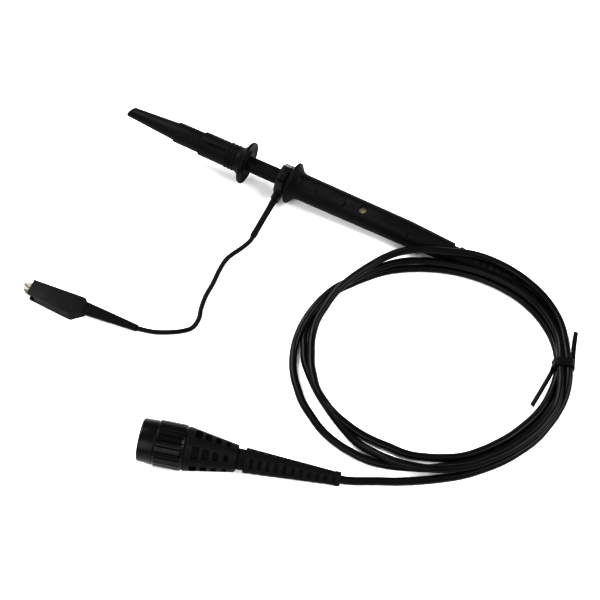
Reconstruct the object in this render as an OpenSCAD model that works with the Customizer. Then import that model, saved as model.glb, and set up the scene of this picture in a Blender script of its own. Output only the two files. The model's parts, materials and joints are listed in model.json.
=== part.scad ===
// Passive high-voltage oscilloscope probe, lying on a table with its cable coiled.
// Millimetres, +Z up. The head lies along X with the hook towards -X, and z = 0 is the table.

/* [Hook tip] */
// length of the tapered nose in front of the first step
nose_len = 21.5; // [18:0.5:26]
// length of the plain cylinder behind the nose
neck_cyl_len = 12; // [9:0.5:15]
// length of the sliding sleeve with its finger flange
sleeve_len = 21.5; // [19:0.5:25]
// diameter at the very end of the nose
nose_tip_d = 4.4; // [3.8:0.1:5]
// diameter at the root of the nose taper
nose_root_d = 7.7; // [7.4:0.1:8.4]
// diameter of the plain cylinder
neck_cyl_d = 8.8; // [8.6:0.1:9.4]
// diameter of the sliding sleeve
sleeve_d = 10.2; // [10:0.1:11]
// diameter of the finger flange
flange_d = 17.8; // [15:0.1:20]
// how far the sleeve slides back to bare the hook
sleeve_travel = 7; // [5:0.5:8]

/* [Barrel] */
// length of the bare shaft between the finger flange and the guard
shaft_gap = 18.1; // [17.5:0.1:20]
// diameter of the insulated shaft
shaft_d = 6.5; // [6:0.1:7]
// length of the barrel from the guard to the seam
barrel_len = 53.9; // [50:0.1:60]
// diameter of the barrel just behind the guard
barrel_d = 11; // [10.6:0.1:12]
// diameter of the barrel at the seam
barrel_end_d = 10.3; // [10.2:0.1:11]
// diameter of the finger guard
guard_d = 17.51; // [16:0.01:20]
// length of the tail cone
tail_len = 18.5; // [15:0.5:24]
// diameter at the end of the tail cone
tail_end_d = 8.2; // [7.4:0.1:8.4]
// length of the slotted boot behind the neck
boot_len = 24; // [20:1:30]
// slope of the head, resting on its guard and its seam
head_tilt = 3.7; // [3:0.1:5]

/* [Ground lead] */
// size of the hexagonal ground ring over its corners
ring_d = 13.3; // [12.5:0.1:14]
// width of the ground ring
ring_w = 3.4; // [3:0.1:4]
// diameter of the sleeve on the lead
lead_sleeve_d = 2.6; // [2.4:0.1:3]
// diameter of the ground lead
lead_d = 1.8; // [1.4:0.1:2.2]
// length of the straight side of the clip's boot
clip_len = 22.4; // [20:0.2:25]
// height of the clip's boot as it lies
clip_h = 5.6; // [5.4:0.1:7]

/* [Cable] */
// diameter of the coaxial cable
cable_d = 3; // [2.8:0.1:3.4]
// half length of the oval that the coil is wound on
coil_a = 47; // [40:1:55]
// half width of the oval that the coil is wound on
coil_b = 37.5; // [32:0.5:45]

/* [BNC plug] */
// length of the insulated collar
collar_len = 15.2; // [14:0.2:17]
// diameter over the collar's knurling
collar_d = 16.8; // [16.4:0.1:18]
// length of the conical housing
housing_len = 18.7; // [16:0.1:22]
// length of the slotted boot behind the housing
plug_boot_len = 35; // [30:1:40]
// slope of the plug, resting on its collar
plug_tilt = 5.6; // [4.5:0.1:6]

/* [Hidden] */
$fn = 64;
eps = 0.02;
// radial clearance of a sliding or turning fit
fit_gap = 0.06;

// stations along the head's axis, counted from the hook tip
s_tip = -1.3;
s_step1 = nose_len;
s_step2 = s_step1 + neck_cyl_len;
s_flange = s_step2 + sleeve_len;
s_guard = s_flange + shaft_gap;
s_wide = s_guard + 1.6;
s_seam = s_guard + barrel_len;
s_tail = s_seam + tail_len;
s_boot = s_tail + 2.5;
head_len = s_boot + boot_len;
s_ring = s_guard - 2.1;
axis_z = guard_d / 2 * cos(head_tilt) + s_wide * sin(head_tilt) + eps;

// a point given in the head's own frame, moved to the table's frame
function head_point(p) =
    [(p[0] - head_len / 2) * cos(head_tilt) + p[2] * sin(head_tilt), p[1],
        axis_z - p[0] * sin(head_tilt) + p[2] * cos(head_tilt)];

// insides of the hook tip
core_r = 3;
core_bore_r = 2.15;
core_s0 = 27;
core_s1 = s_flange - 5;
core_rim_s = core_s1 - 4;
chamber_r = 4.15;
hook_bore_r = 1.4;
hook_wire_r = 0.4;

// insides of the barrel
grip_bore_r = 4;
trim_s = s_seam - 20.5;
trim_turn = 13;
trim_hole_r = 1.75;
pad_s = s_seam - 34.5;
pad_turn = 19;
ring_bore_r = 4.5;
contact_r = 3.7;

// the oval of the coil: a point at angle t, offset d outwards, height z
coil_centre = [69.2, -47.2, 0];
coil_turn = 26;
function on_oval(t, d, z) =
    let (x = (coil_a + d) * cos(t), y = (coil_b + d) * sin(t))
    coil_centre + [x * cos(coil_turn) - y * sin(coil_turn), x * sin(coil_turn) + y * cos(coil_turn), z];
coil_z = 0.5;
layer_h = cable_d;
coil_inner = [[-180, -4], [-135, -3.5], [-95, 0], [-45, -0.7], [0, 1], [50, 1.6], [90, 2.1], [125, 2],
    [145, -1], [180, -4]];
coil_outer = [[-180, 5.8], [-135, 7.5], [-90, 7.6], [-45, 6.4], [-20, 5.4], [0, 6.8], [15, 5],
    [60, 4.6], [80, 4.6], [95, 6.4], [110, 8.4], [140, 7], [180, 5.8]];
tie_t = -4;

// where the cable leaves the boot, and its routes beside the coil
boot_end = head_point([head_len, 0, 0]);
lead_in_route = [boot_end, head_point([head_len + 2, 0, 0]), [91.5, -0.2, 2.1], [97, -2, 2], [102, -5, 2],
    [107, -9.4, 2], [111.2, -15, 2], [114.6, -21, 2], [116.6, -26.5, 2]];
crossing_route = [[168, -2, 3.9], [160, -1.1, 3.9], [153, -0.4, 4.6], [146, 0, 5.6], [140, 0.7, 6.6],
    [134, 1.5, 7.3], [127, 2.4, 7.5], [120, 3.6, 7.5], [113, 5, 7.6], [106, 6.6, 8], [98, 7.6, 8.8],
    [90, 7.6, 9.3], [82, 7.3, 9.4], [76, 7.7, 9.2], [70, 8.6, 8.7], [64, 9.3, 7.7], [58, 9.7, 6.7],
    [51, 9.7, 6], [44, 9.4, 5.6], [35, 8.8, 5.4], [26, 8, 5.2], [17, 7, 5.1], [8, 5.8, 5], [0, 5.4, 4.9]];
lead_out_route = [[-6, 5.7, 4.8], [-12, 6.1, 4.4], [-20, 6.6, 3], [-28, 6.7, 1.7], [-38, 6.9, 1.5],
    [-46, 7.4, 1.5], [-55, 7.7, 1.5], [-63, 8.2, 1.5], [-72, 8.7, 1.5], [-80, 9.4, 1.5], [-88, 10, 1.5],
    [-95, 10.9, 1.5], [-102, 12.2, 1.6], [-109, 13.9, 1.9]];

// the plug: its front end, heading, and stations counted from the front
plug_front = [-10.1, -125.6, 0];
plug_heading = 16.1;
p_housing = collar_len + 1.5;
p_neck = p_housing + housing_len;
p_boot = p_neck + 2.7;
plug_len = p_boot + plug_boot_len;
plug_z = collar_d / 2 * cos(plug_tilt) + collar_len * sin(plug_tilt) + eps;
function plug_point(s) = [plug_front[0] + s * cos(plug_tilt) * cos(plug_heading),
    plug_front[1] + s * cos(plug_tilt) * sin(plug_heading), plug_z - s * sin(plug_tilt)];
mouth_r = 6.2;
mouth_depth = 3.4;
lock_r = 7;
lock_flange_r = 7.4;

// the ground lead and its clip
clip_front = [-82.1, -87];
clip_heading = 4.4;
clip_pivot = [6, 0];
clip_tail_len = 22.3;
lug = [s_ring, -5.2, -4.05];
lug_heading = -92;
lug_slope = 9.8;
lead_sleeve_len = 21.4;
function lead_point(d) = head_point(lug + d * [cos(lug_heading) * cos(lug_slope),
    sin(lug_heading) * cos(lug_slope), -sin(lug_slope)]);
lead_start = lead_point(lead_sleeve_len + eps);
clip_tail_slope = 3.4;
clip_tail_y = 0.28;
clip_tail_z = 2.72;
clip_tail_end = clip_len + 0.7 + clip_tail_len * cos(clip_tail_slope);
lead_end = [clip_front[0] + clip_tail_end * cos(clip_heading) - clip_tail_y * sin(clip_heading),
    clip_front[1] + clip_tail_end * sin(clip_heading) + clip_tail_y * cos(clip_heading),
    clip_tail_z - clip_tail_len * sin(clip_tail_slope)];
lead_route = [lead_start, lead_point(lead_sleeve_len + 2), [-17.6, -32.3, 1], [-20.7, -39.5, 0.95],
    [-21, -46, 0.95], [-20.4, -52.5, 0.95], [-20.2, -59, 0.95], [-19.2, -64.5, 0.95], [-17.8, -69, 0.95],
    [-18.2, -73.6, 0.95], [-21.6, -77, 0.95], [-26.8, -80, 0.95], [-31.6, -82, 1.1], lead_end];

// ---- placing ----

module on_head() {
    translate([-head_len / 2 * cos(head_tilt), 0, axis_z]) rotate([0, head_tilt, 0]) children();
}

module on_plug() {
    translate([plug_front[0], plug_front[1], plug_z]) rotate([0, 0, plug_heading])
        rotate([0, plug_tilt, 0]) children();
}

module on_clip() {
    translate([clip_front[0], clip_front[1], 0]) rotate([0, 0, clip_heading]) children();
}

// ---- turned and swept shapes ----

// solid of revolution about X from [station, radius] pairs
module turned(profile) {
    rotate([0, 90, 0]) rotate_extrude() polygon([for (p = profile) [p[1], p[0]]]);
}

// round bar along X
module bar(s0, s1, r, r_end = -1) {
    translate([s0, 0, 0]) rotate([0, 90, 0]) cylinder(h = s1 - s0, r1 = r, r2 = r_end < 0 ? r : r_end);
}

// tube along X
module pipe(s0, s1, r_out, r_in) {
    difference() {
        bar(s0, s1, r_out);
        bar(s0 - 1, s1 + 1, r_in);
    }
}

function unit(v) = v / norm(v);
function heading(p, i) = unit(p[min(i + 1, len(p) - 1)] - p[max(i - 1, 0)]);
function ring_points(c, t, r, n) =
    let (a = unit(cross(t, [0, 0, 1])), b = cross(a, t))
    [for (k = [0 : n - 1]) c + r * (cos(k * 360 / n) * a + sin(k * 360 / n) * b)];

// plain cord swept along a route
module cord(path, r, n = 8) {
    last = len(path) - 1;
    points = [for (i = [0 : last]) each ring_points(path[i], heading(path, i), r, n)];
    sides = [for (i = [0 : last - 1], k = [0 : n - 1])
        let (a = i * n + k, b = i * n + (k + 1) % n)
        each [[a, b, a + n], [b, b + n, a + n]]];
    ends = [[for (k = [n - 1 : -1 : 0]) k], [for (k = [0 : n - 1]) last * n + k]];
    polyhedron(points, concat(ends, sides));
}

// ---- hook tip ----

module nose_cone() {
    color("#1b1b1d") on_head() difference() {
        turned([[s_tip, 0], [s_tip, nose_tip_d / 2 - 0.2], [s_tip + 0.2, nose_tip_d / 2],
            [s_step1, nose_root_d / 2], [s_step1, neck_cyl_d / 2 - 0.3],
            [s_step1 + 0.3, neck_cyl_d / 2], [s_step2, neck_cyl_d / 2], [s_step2, 0]]);
        bar(s_tip - 1, s_step1, hook_bore_r);
        bar(core_s0 - sleeve_travel - 0.8, s_step2 + 1, core_r + fit_gap);
        rotate([0, 6, -27]) translate([-6.1, -6, -6]) cube([6, 12, 12]);
    }
}

module hook_sleeve() {
    r = sleeve_d / 2;
    f = flange_d / 2;
    bowl = [for (a = [0 : 15 : 75]) [s_flange - 1.9 - 4 * (1 - sin(a)), r + (f - r - 0.6) * (1 - cos(a))]];
    color("#1b1b1d") on_head() difference() {
        union() {
            turned(concat([[s_step2, 0], [s_step2, r - 0.3], [s_step2 + 0.3, r]], bowl,
                [[s_flange - 1.5, f - 0.2], [s_flange - 1, f], [s_flange - 0.4, f], [s_flange, f - 0.5],
                [s_flange, 0]]));
            for (k = [0 : 2]) bar(s_step2 + 10.4 + 1.8 * k, s_step2 + 11.3 + 1.8 * k, r + 0.35);
        }
        bar(s_step2 - 1, s_flange + 1, core_r + fit_gap);
        bar(s_step2 + 1.3, core_s1 - 1.7, chamber_r);
        bar(core_s1 - 2, s_flange + 1, shaft_d / 2 + fit_gap);
        rotate([23, 0, 0]) translate([s_step2 + 4, -0.6, 3.8]) cube([7.5, 1.2, 3]);
    }
}

module hook_spring() {
    color("#c9c9c4") on_head() pipe(s_step2 + 1.5, core_rim_s - 0.1, 3.8, 3.2);
}

module hook_core() {
    color("#d8d4c8") on_head() difference() {
        union() {
            bar(core_s0, core_s1, core_r);
            bar(core_rim_s, core_rim_s + 2, chamber_r - 0.3);
        }
        bar(core_s0 + 9, core_s1 + 1, core_bore_r);
        bar(core_s0 - 1, core_s1, 1.25);
    }
}

module hook_contact() {
    color("#c8a24a") on_head() difference() {
        bar(core_s0 + 1, core_s0 + 9, 1.23);
        bar(core_s0 + 3, core_s0 + 10, 0.56);
    }
}

module hook_wire() {
    bend_r = 0.55;
    color("#d4d4d0") on_head() {
        translate([0, -bend_r, 0]) bar(1.2, core_s0 + 0.98, hook_wire_r);
        translate([1.2, 0, 0]) rotate([0, 0, 90]) rotate_extrude(angle = 180)
            translate([bend_r, 0]) circle(hook_wire_r, $fn = 32);
        translate([0, bend_r, 0]) bar(1.2, 3.4, hook_wire_r);
    }
}

module tip_needle() {
    color("#c8a24a") on_head() {
        bar(core_s0 + 4, core_s0 + 5, 0.2, 0.5);
        bar(core_s0 + 5, s_guard + 6, 0.5);
    }
}

// ---- shaft and ground ring ----

module nose_insulator() {
    color("#1a1a1c") on_head() difference() {
        union() {
            bar(core_s0 + 9.5, s_guard + 5, 2.1);
            bar(core_s1 + 0.05, s_guard + 5, shaft_d / 2);
        }
        bar(core_s0, s_guard + 6, 0.52);
    }
}

module ground_collar() {
    color("#c9c9c4") on_head()
        pipe(s_ring - ring_w / 2 + 0.2, s_guard - 0.1, contact_r - fit_gap, shaft_d / 2 + eps);
}

module ground_ring() {
    color("#2a2b30") on_head() difference() {
        union() {
            translate([s_ring - ring_w / 2, 0, 0]) rotate([0, 90, 0]) rotate([0, 0, 15])
                cylinder(h = ring_w, r = ring_d / 2, $fn = 6);
            on_lead_axis() translate([-1.5, -1.5, -1.7]) cube([4.8, 3, 3.4]);
        }
        bar(s_ring - ring_w, s_ring + ring_w, ring_bore_r + eps);
        for (k = [0, 1, 3, 4, 5]) rotate([k * 60 + 15, 0, 0])
            translate([0, 0, ring_d / 2]) bar(s_ring - ring_w, s_ring + ring_w, 0.45);
        on_lead_axis() bar(0.5, 9, lead_sleeve_d / 2 - 0.3);
    }
}

module ring_contact() {
    color("#c9c9c4") on_head()
        pipe(s_ring - ring_w / 2 + 0.2, s_ring + ring_w / 2 - 0.2, ring_bore_r, contact_r);
}

// axis of the ground lead's sleeve, from the ring's lug outwards, inside the head's frame
module on_lead_axis() {
    translate(lug) rotate([0, 0, lug_heading]) rotate([0, lug_slope, 0]) children();
}

module ground_lead_sleeve() {
    color("#202022") on_head() on_lead_axis() {
        bar(1, 3.4, lead_sleeve_d / 2 - 0.32);
        bar(3.38, lead_sleeve_len, lead_sleeve_d / 2, lead_sleeve_d / 2 - 0.1);
    }
}

module ground_lead() {
    color("#222224") cord(lead_route, lead_d / 2);
}

// ---- barrel ----

module grip_shell() {
    r = barrel_d / 2;
    g = guard_d / 2;
    color("#1b1b1d") on_head() difference() {
        turned([[s_guard, 0], [s_guard, 5.2], [s_guard + 0.9, g - 1.3], [s_wide, g], [s_wide + 0.8, g],
            [s_wide + 1.4, g - 0.6], [s_wide + 2.2, r + 1.4], [s_wide + 3.4, r + 0.3], [s_wide + 4.8, r],
            [s_seam, barrel_end_d / 2], [s_seam, 0]]);
        bar(s_guard - 1, s_seam, shaft_d / 2 + eps);
        bar(s_guard + 6, s_seam + 1, grip_bore_r);
        rotate([trim_turn, 0, 0]) translate([trim_s, 0, 0]) {
            cylinder(h = 9, r = trim_hole_r);
            translate([0, 0, 5.15]) cylinder(h = 4, r = 2.2);
        }
        rotate([pad_turn, 0, 0]) translate([pad_s, 0, 4.9]) linear_extrude(4) pad_outline(0);
    }
}

module pad_outline(gap) {
    for (k = [-1, 1]) translate([k * 3.8, 0]) circle(2.5 - gap);
    square([7.6, 5 - 2 * gap], center = true);
}

module rating_pad() {
    color("#222224") on_head() intersection() {
        rotate([pad_turn, 0, 0]) translate([pad_s, 0, 4.9]) linear_extrude(4) pad_outline(eps);
        bar(pad_s - 8, pad_s + 8, barrel_d / 2 + 0.35);
    }
}

module shield_tube() {
    color("#b9bbbd") on_head() difference() {
        pipe(s_guard + 6.1, s_seam - 4.2, grip_bore_r - eps, 3.65);
        rotate([trim_turn, 0, 0]) translate([trim_s, 0, 0]) cylinder(h = 9, r = 2.2);
    }
}

module circuit_board() {
    color("#2f6b3a") on_head() rotate([trim_turn, 0, 0])
        translate([s_guard + 12, -2.7, -1.6]) cube([barrel_len - 18, 5.4, 0.8]);
}

module divider_resistor() {
    color("#7a4a35") on_head() rotate([trim_turn, 0, 0]) {
        bar(s_guard + 6.2, s_guard + 12, 0.3);
        bar(s_guard + 12, s_guard + 25, 0.75);
        bar(s_guard + 25, s_guard + 27.5, 0.3);
    }
}

module trimmer_body() {
    color("#e8e2cf") on_head() rotate([trim_turn, 0, 0]) translate([trim_s, 0, -0.78]) difference() {
        cylinder(h = 2.5, r = 2.05);
        translate([0, 0, 0.6]) cylinder(h = 3, r = 0.65);
    }
}

module trimmer_screw() {
    color("#d9b45a") on_head() rotate([trim_turn, 0, 0]) translate([trim_s, 0, 1.78]) difference() {
        union() {
            translate([0, 0, -1.7]) cylinder(h = 2, r = 0.6);
            cylinder(h = 1.3, r = 1.55);
        }
        translate([-2, -0.3, 0.7]) cube([4, 0.6, 2]);
    }
}

// ---- tail ----

module tail_cone() {
    color("#1b1b1d") on_head() difference() {
        union() {
            bar(s_seam - 4, s_seam + eps, grip_bore_r - eps);
            turned([[s_seam, 0], [s_seam, barrel_end_d / 2 - 0.15], [s_seam + 0.15, barrel_end_d / 2],
                [s_tail, tail_end_d / 2], [s_tail, 0]]);
        }
        bar(s_seam - 5, s_seam + 4, 2.9);
        bar(s_seam - 5, s_tail + 1, 2);
    }
}

module cable_boot() {
    slot_pitch = 3;
    color("#1e1e20") on_head() difference() {
        union() {
            bar(s_seam + 4.2, s_boot + eps, 1.98);
            bar(s_tail + eps, s_boot + eps, 3.2);
            turned([[s_boot, 0], [s_boot, 3.65], [s_boot + 0.3, 3.85], [s_boot + 4, 3.5], [s_boot + 10, 3.05],
                [head_len, 2.2], [head_len, 0]]);
        }
        bar(s_seam, head_len + 1, cable_d / 2 + eps);
        for (k = [0 : 5], side = [0, 90, 180, 270])
            rotate([side, 0, 0]) translate([s_boot + 3 + slot_pitch * k, -1.7 + 0.12 * k, 2.9 - 0.2 * k])
                cube([1.2, 3.4 - 0.24 * k, 3]);
    }
}

module cable_inner() {
    color("#1a1a1b") on_head() bar(s_seam - 4, head_len, cable_d / 2);
}

// ---- cable ----

function oval_path(route) = [for (p = route) on_oval(p[0], p[1], p[2])];

module cable_lead_in() {
    color("#1a1a1b") cord(lead_in_route, cable_d / 2);
}

module cable_crossing() {
    color("#1a1a1b") cord(oval_path(crossing_route), cable_d / 2);
}

module cable_lead_out() {
    route = concat(oval_path(lead_out_route), [plug_point(plug_len + 2), plug_point(plug_len)]);
    color("#1a1a1b") cord(route, cable_d / 2);
}

// flat outline of the wound cable, between two offset tables
module coil_outline(t0, t1) {
    step = 5;
    outer = [for (t = [t0 : step : t1]) let (p = on_oval(t, lookup(t, coil_outer), 0)) [p[0], p[1]]];
    inner = [for (t = [t1 : -step : t0]) let (p = on_oval(t, lookup(t, coil_inner), 0)) [p[0], p[1]]];
    polygon(concat(outer, inner));
}

module cable_coil() {
    color("#1a1a1b") {
        translate([0, 0, coil_z]) linear_extrude(layer_h) coil_outline(-180, 0);
        translate([0, 0, coil_z]) linear_extrude(layer_h) coil_outline(0, 180);
        translate([0, 0, coil_z + layer_h - eps]) linear_extrude(layer_h) coil_outline(-45, 45);
    }
}

module twist_tie() {
    mid = on_oval(tie_t, 3.9, 0);
    w = 3.6;
    color("#202022") translate(mid) rotate([0, 0, coil_turn + tie_t]) {
        difference() {
            translate([-4, -w / 2, 0]) cube([8, w, coil_z + 2 * layer_h + 0.6]);
            translate([-3.4, -w, coil_z]) cube([6.8, 2 * w, 2 * layer_h + eps]);
        }
        translate([0.6, w / 2 - eps, coil_z + 2 * layer_h]) cube([1.6, 13, 0.6]);
        translate([-3, -w / 2 - 15 + eps, coil_z + 2 * layer_h]) cube([1, 15, 0.6]);
    }
}

// ---- ground clip ----

module clip_outline(inset) {
    polygon([[inset > 0 ? -1 : 0, 3.15 - inset], [clip_len, 3.15 - inset], [clip_len + 1.2 - inset, 2],
        [clip_len + 1.2 - inset, -1.6], [clip_len - 3.3 - inset / 3, -5.45 + 1.3 * inset],
        [inset > 0 ? -1 : 0, -3.15 + inset]]);
}

module clip_boot() {
    color("#1d1d1f") on_clip() difference() {
        union() {
            linear_extrude(clip_h) clip_outline(0);
            clip_tail() bar(-2, clip_tail_len, 2.65, 1.3);
        }
        translate([0, 0, 0.75]) linear_extrude(clip_h - 1.5) clip_outline(0.75);
        translate([-1, -5, 0.75]) cube([5.2, 3.5, clip_h - 1.5]);
        clip_tail() bar(-3, clip_tail_len + 1, lead_d / 2 + 0.1);
    }
}

// axis of the clip's tail, sloping down to the table
module clip_tail() {
    translate([clip_len + 0.7, clip_tail_y, clip_tail_z]) rotate([0, clip_tail_slope, 0]) children();
}

module clip_fixed_jaw() {
    z0 = 1;
    h = clip_h - 2;
    color("#cfd0d0") on_clip() difference() {
        union() {
            translate([0, 0, z0]) linear_extrude(h)
                polygon([[-3.3, 0.06], [-3.3, 1.25], [0, 2], [14, 2.1], [22, 2.1], [22, 1.5], [12, 1.5],
                    [4, 1.2], [4, 0.06]]);
            for (z = [z0, z0 + h - 0.8]) translate([0, 0, z]) linear_extrude(0.8) {
                translate(clip_pivot) circle(1.4);
                translate([clip_pivot[0] - 1.4, 0]) square([2.8, 1.6]);
            }
        }
        translate([clip_pivot[0], clip_pivot[1], 0]) cylinder(h = clip_h, r = 0.62);
    }
}

module clip_moving_jaw() {
    z0 = 1;
    h = clip_h - 2;
    color("#cfd0d0") on_clip() difference() {
        union() {
            translate([0, 0, z0]) linear_extrude(h)
                polygon([[-3.3, -0.06], [-3.3, -1.25], [0, -1.9], [3.6, -1.4], [3.6, -0.06]]);
            translate([0, 0, z0 + 0.9]) linear_extrude(h - 1.8) {
                translate(clip_pivot) circle(1.1);
                polygon([[3, -0.1], [3, -1.4], [6.5, -1.4], [18.2, -4.1], [18.2, -3.3], [8, -0.6], [6, 0]]);
            }
        }
        translate([clip_pivot[0], clip_pivot[1], 0]) cylinder(h = clip_h, r = 0.66);
    }
}

module clip_pin() {
    color("#b8b9b9") on_clip() translate([clip_pivot[0], clip_pivot[1], 0.95])
        cylinder(h = clip_h - 1.9, r = 0.6);
}

module clip_spring() {
    color("#c9c9c4") on_clip() translate([13, 1.4, clip_h / 2]) rotate([90, 0, 0]) cylinder(h = 3, r = 0.7);
}

// ---- BNC plug ----

module bnc_shell() {
    r = collar_d / 2;
    ribs = 24;
    skirt_end = p_housing - 0.3;
    color("#17171a") on_plug() difference() {
        union() {
            turned([[0, 0], [0, r - 0.9], [0.5, r - 0.55], [6, r - 0.4], [6, 0]]);
            turned([[5.9, 0], [5.9, r - 0.3], [6.3, r], [collar_len - 0.4, r], [skirt_end, r - 0.5],
                [skirt_end, 0]]);
        }
        for (k = [0 : ribs - 1]) rotate([k * 360 / ribs, 0, 0])
            translate([0, 0, r + 0.25]) bar(6.6, collar_len + 1, 0.55);
        bar(-1, mouth_depth, mouth_r);
        bar(mouth_depth - 1, collar_len + 1, lock_r + eps);
        bar(collar_len, skirt_end + 1, lock_flange_r + fit_gap);
    }
}

module bnc_lock_sleeve() {
    color("#c6c7c8") on_plug() difference() {
        bar(mouth_depth + 0.02, collar_len - 1.6, lock_r);
        bar(mouth_depth - 1, collar_len, 4.95);
        for (side = [0, 180]) rotate([side, 0, 0]) {
            translate([mouth_depth - 1, -1.15, 0]) cube([6, 2.3, 5.75]);
            rotate([0, 90, 0]) translate([0, 0, mouth_depth + 3]) rotate([0, 0, 180])
                rotate_extrude(angle = 55) translate([4.5, 0]) square([1.25, 2.3]);
        }
    }
}

module bnc_lock_washer() {
    color("#c9c9c4") on_plug() pipe(collar_len - 1.5, collar_len - 1.1, 6.7, 4.95);
}

module bnc_body() {
    color("#c6c7c8") on_plug() difference() {
        union() {
            bar(mouth_depth + 1.5, collar_len + 12, 4.05);
            bar(collar_len - 1, collar_len, 6.7);
            bar(collar_len + 0.1, p_housing, lock_flange_r);
            bar(collar_len - 0.5, collar_len + 0.3, 6);
        }
        bar(mouth_depth, collar_len + 13, 3.45);
        for (k = [0 : 3]) rotate([45 + 90 * k, 0, 0]) translate([mouth_depth + 1, -0.2, 2]) cube([6, 0.4, 4]);
    }
}

module bnc_insulator() {
    color("#efede6") on_plug() pipe(mouth_depth + 5.5, collar_len + 11, 3.43, 0.72);
}

module bnc_centre_pin() {
    color("#c8a24a") on_plug() {
        bar(mouth_depth + 2, mouth_depth + 2.6, 0.4, 0.68);
        bar(mouth_depth + 2.6, collar_len + 12, 0.68);
    }
}

module bnc_gasket() {
    color("#8d8f92") on_plug() pipe(collar_len - 2.2, collar_len - 1.55, 4.88, 4.07);
}

module bnc_housing() {
    color("#1a1a1c") on_plug() difference() {
        turned([[p_housing, 0], [p_housing, 7.85], [p_housing + 0.3, 8.05], [p_neck - 0.4, 4.95],
            [p_neck, 4.6], [p_neck, 0]]);
        bar(p_housing - 1, collar_len + 12.1, 4.07);
        bar(collar_len + 12, p_neck - 3, 3.4);
        bar(p_housing, p_neck + 1, 2);
        for (side = [0 : 5], k = [0 : 3])
            rotate([side * 60 + 30, 0, 0]) translate([p_housing + 2.6 + 3.8 * k, 0, 7.25 - 0.63 * k])
                rotate([0, 9.5, 0]) translate([0, -2.2 + 0.35 * k, -0.5])
                    cube([2.6 - 0.3 * k, 4.4 - 0.7 * k, 3]);
    }
}

module bnc_cable_boot() {
    slot_pitch = 3;
    slot_turn = 35;
    color("#1e1e20") on_plug() difference() {
        union() {
            bar(p_neck - 2.8, p_boot + eps, 1.98);
            bar(p_neck + eps, p_boot + eps, 3.8);
            turned([[p_boot, 0], [p_boot, 4.35], [p_boot + 0.3, 4.55], [plug_len, 2.45], [plug_len, 0]]);
        }
        bar(p_neck - 4, plug_len + 1, cable_d / 2 + eps);
        for (k = [0 : 10], side = [0, 90, 180, 270])
            rotate([side + slot_turn, 0, 0])
                translate([p_boot + 2 + slot_pitch * k, -2 + 0.1 * k, 3.5 - 0.17 * k])
                cube([1.3, 4 - 0.2 * k, 3]);
    }
}

module bnc_cable_inner() {
    color("#1a1a1b") on_plug() bar(collar_len + 12.5, plug_len, cable_d / 2);
}

nose_cone();
hook_sleeve();
hook_spring();
hook_core();
hook_contact();
hook_wire();
tip_needle();
nose_insulator();
ground_collar();
ground_ring();
ring_contact();
ground_lead_sleeve();
ground_lead();
grip_shell();
rating_pad();
shield_tube();
circuit_board();
divider_resistor();
trimmer_body();
trimmer_screw();
tail_cone();
cable_boot();
cable_inner();
cable_lead_in();
cable_coil();
cable_crossing();
cable_lead_out();
twist_tie();
clip_boot();
clip_fixed_jaw();
clip_moving_jaw();
clip_pin();
clip_spring();
bnc_shell();
bnc_lock_sleeve();
bnc_lock_washer();
bnc_body();
bnc_insulator();
bnc_centre_pin();
bnc_gasket();
bnc_housing();
bnc_cable_boot();
bnc_cable_inner();
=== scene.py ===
"""Looks of the oscilloscope probe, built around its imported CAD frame.

Metres, +Z up, z = 0 is the table. Shapes are drawn in millimetres in the frame of the head, the
plug or the clip (x along it, counted in stations from its front end) and are then laid in place.
"""

import json
import math

import bmesh
import bpy
from mathutils import Matrix, Vector


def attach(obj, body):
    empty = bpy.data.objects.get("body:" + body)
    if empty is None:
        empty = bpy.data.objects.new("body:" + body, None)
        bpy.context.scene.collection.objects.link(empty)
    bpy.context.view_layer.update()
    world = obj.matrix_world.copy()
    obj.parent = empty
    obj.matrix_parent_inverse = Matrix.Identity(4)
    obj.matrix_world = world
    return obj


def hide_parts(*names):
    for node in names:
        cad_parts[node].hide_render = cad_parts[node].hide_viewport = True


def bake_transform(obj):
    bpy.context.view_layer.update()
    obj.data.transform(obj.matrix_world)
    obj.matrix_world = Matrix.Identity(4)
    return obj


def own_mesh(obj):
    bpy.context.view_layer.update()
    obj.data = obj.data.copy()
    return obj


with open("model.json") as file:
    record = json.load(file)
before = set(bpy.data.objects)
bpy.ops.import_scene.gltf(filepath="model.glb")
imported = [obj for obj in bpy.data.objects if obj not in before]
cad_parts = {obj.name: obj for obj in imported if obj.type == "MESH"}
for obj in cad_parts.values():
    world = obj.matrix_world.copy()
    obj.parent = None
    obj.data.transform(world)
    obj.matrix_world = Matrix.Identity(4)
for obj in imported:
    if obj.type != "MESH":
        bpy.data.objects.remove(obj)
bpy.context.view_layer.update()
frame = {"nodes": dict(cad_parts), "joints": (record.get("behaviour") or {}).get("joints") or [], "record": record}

MM = 0.001
TURN = 2 * math.pi
JOINTS = {j["name"]: j for j in frame["joints"]}
MOUNTS = {m["name"]: m for m in frame["record"]["mounts"]}


# ---------------------------------------------------------------- places

def along(point, direction, station):
    """Frame in millimetres with x along direction; point lies on its axis at that station."""
    x = Vector(direction).normalized()
    y = Vector((0, 0, 1)).cross(x).normalized()
    turn = Matrix((x, y, x.cross(y))).transposed().to_4x4()
    return Matrix.Translation(Vector(point) - x * station * MM) @ turn @ Matrix.Scale(MM, 4)


def flipped(direction):
    """The opposite direction."""
    return [-v for v in direction]


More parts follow.
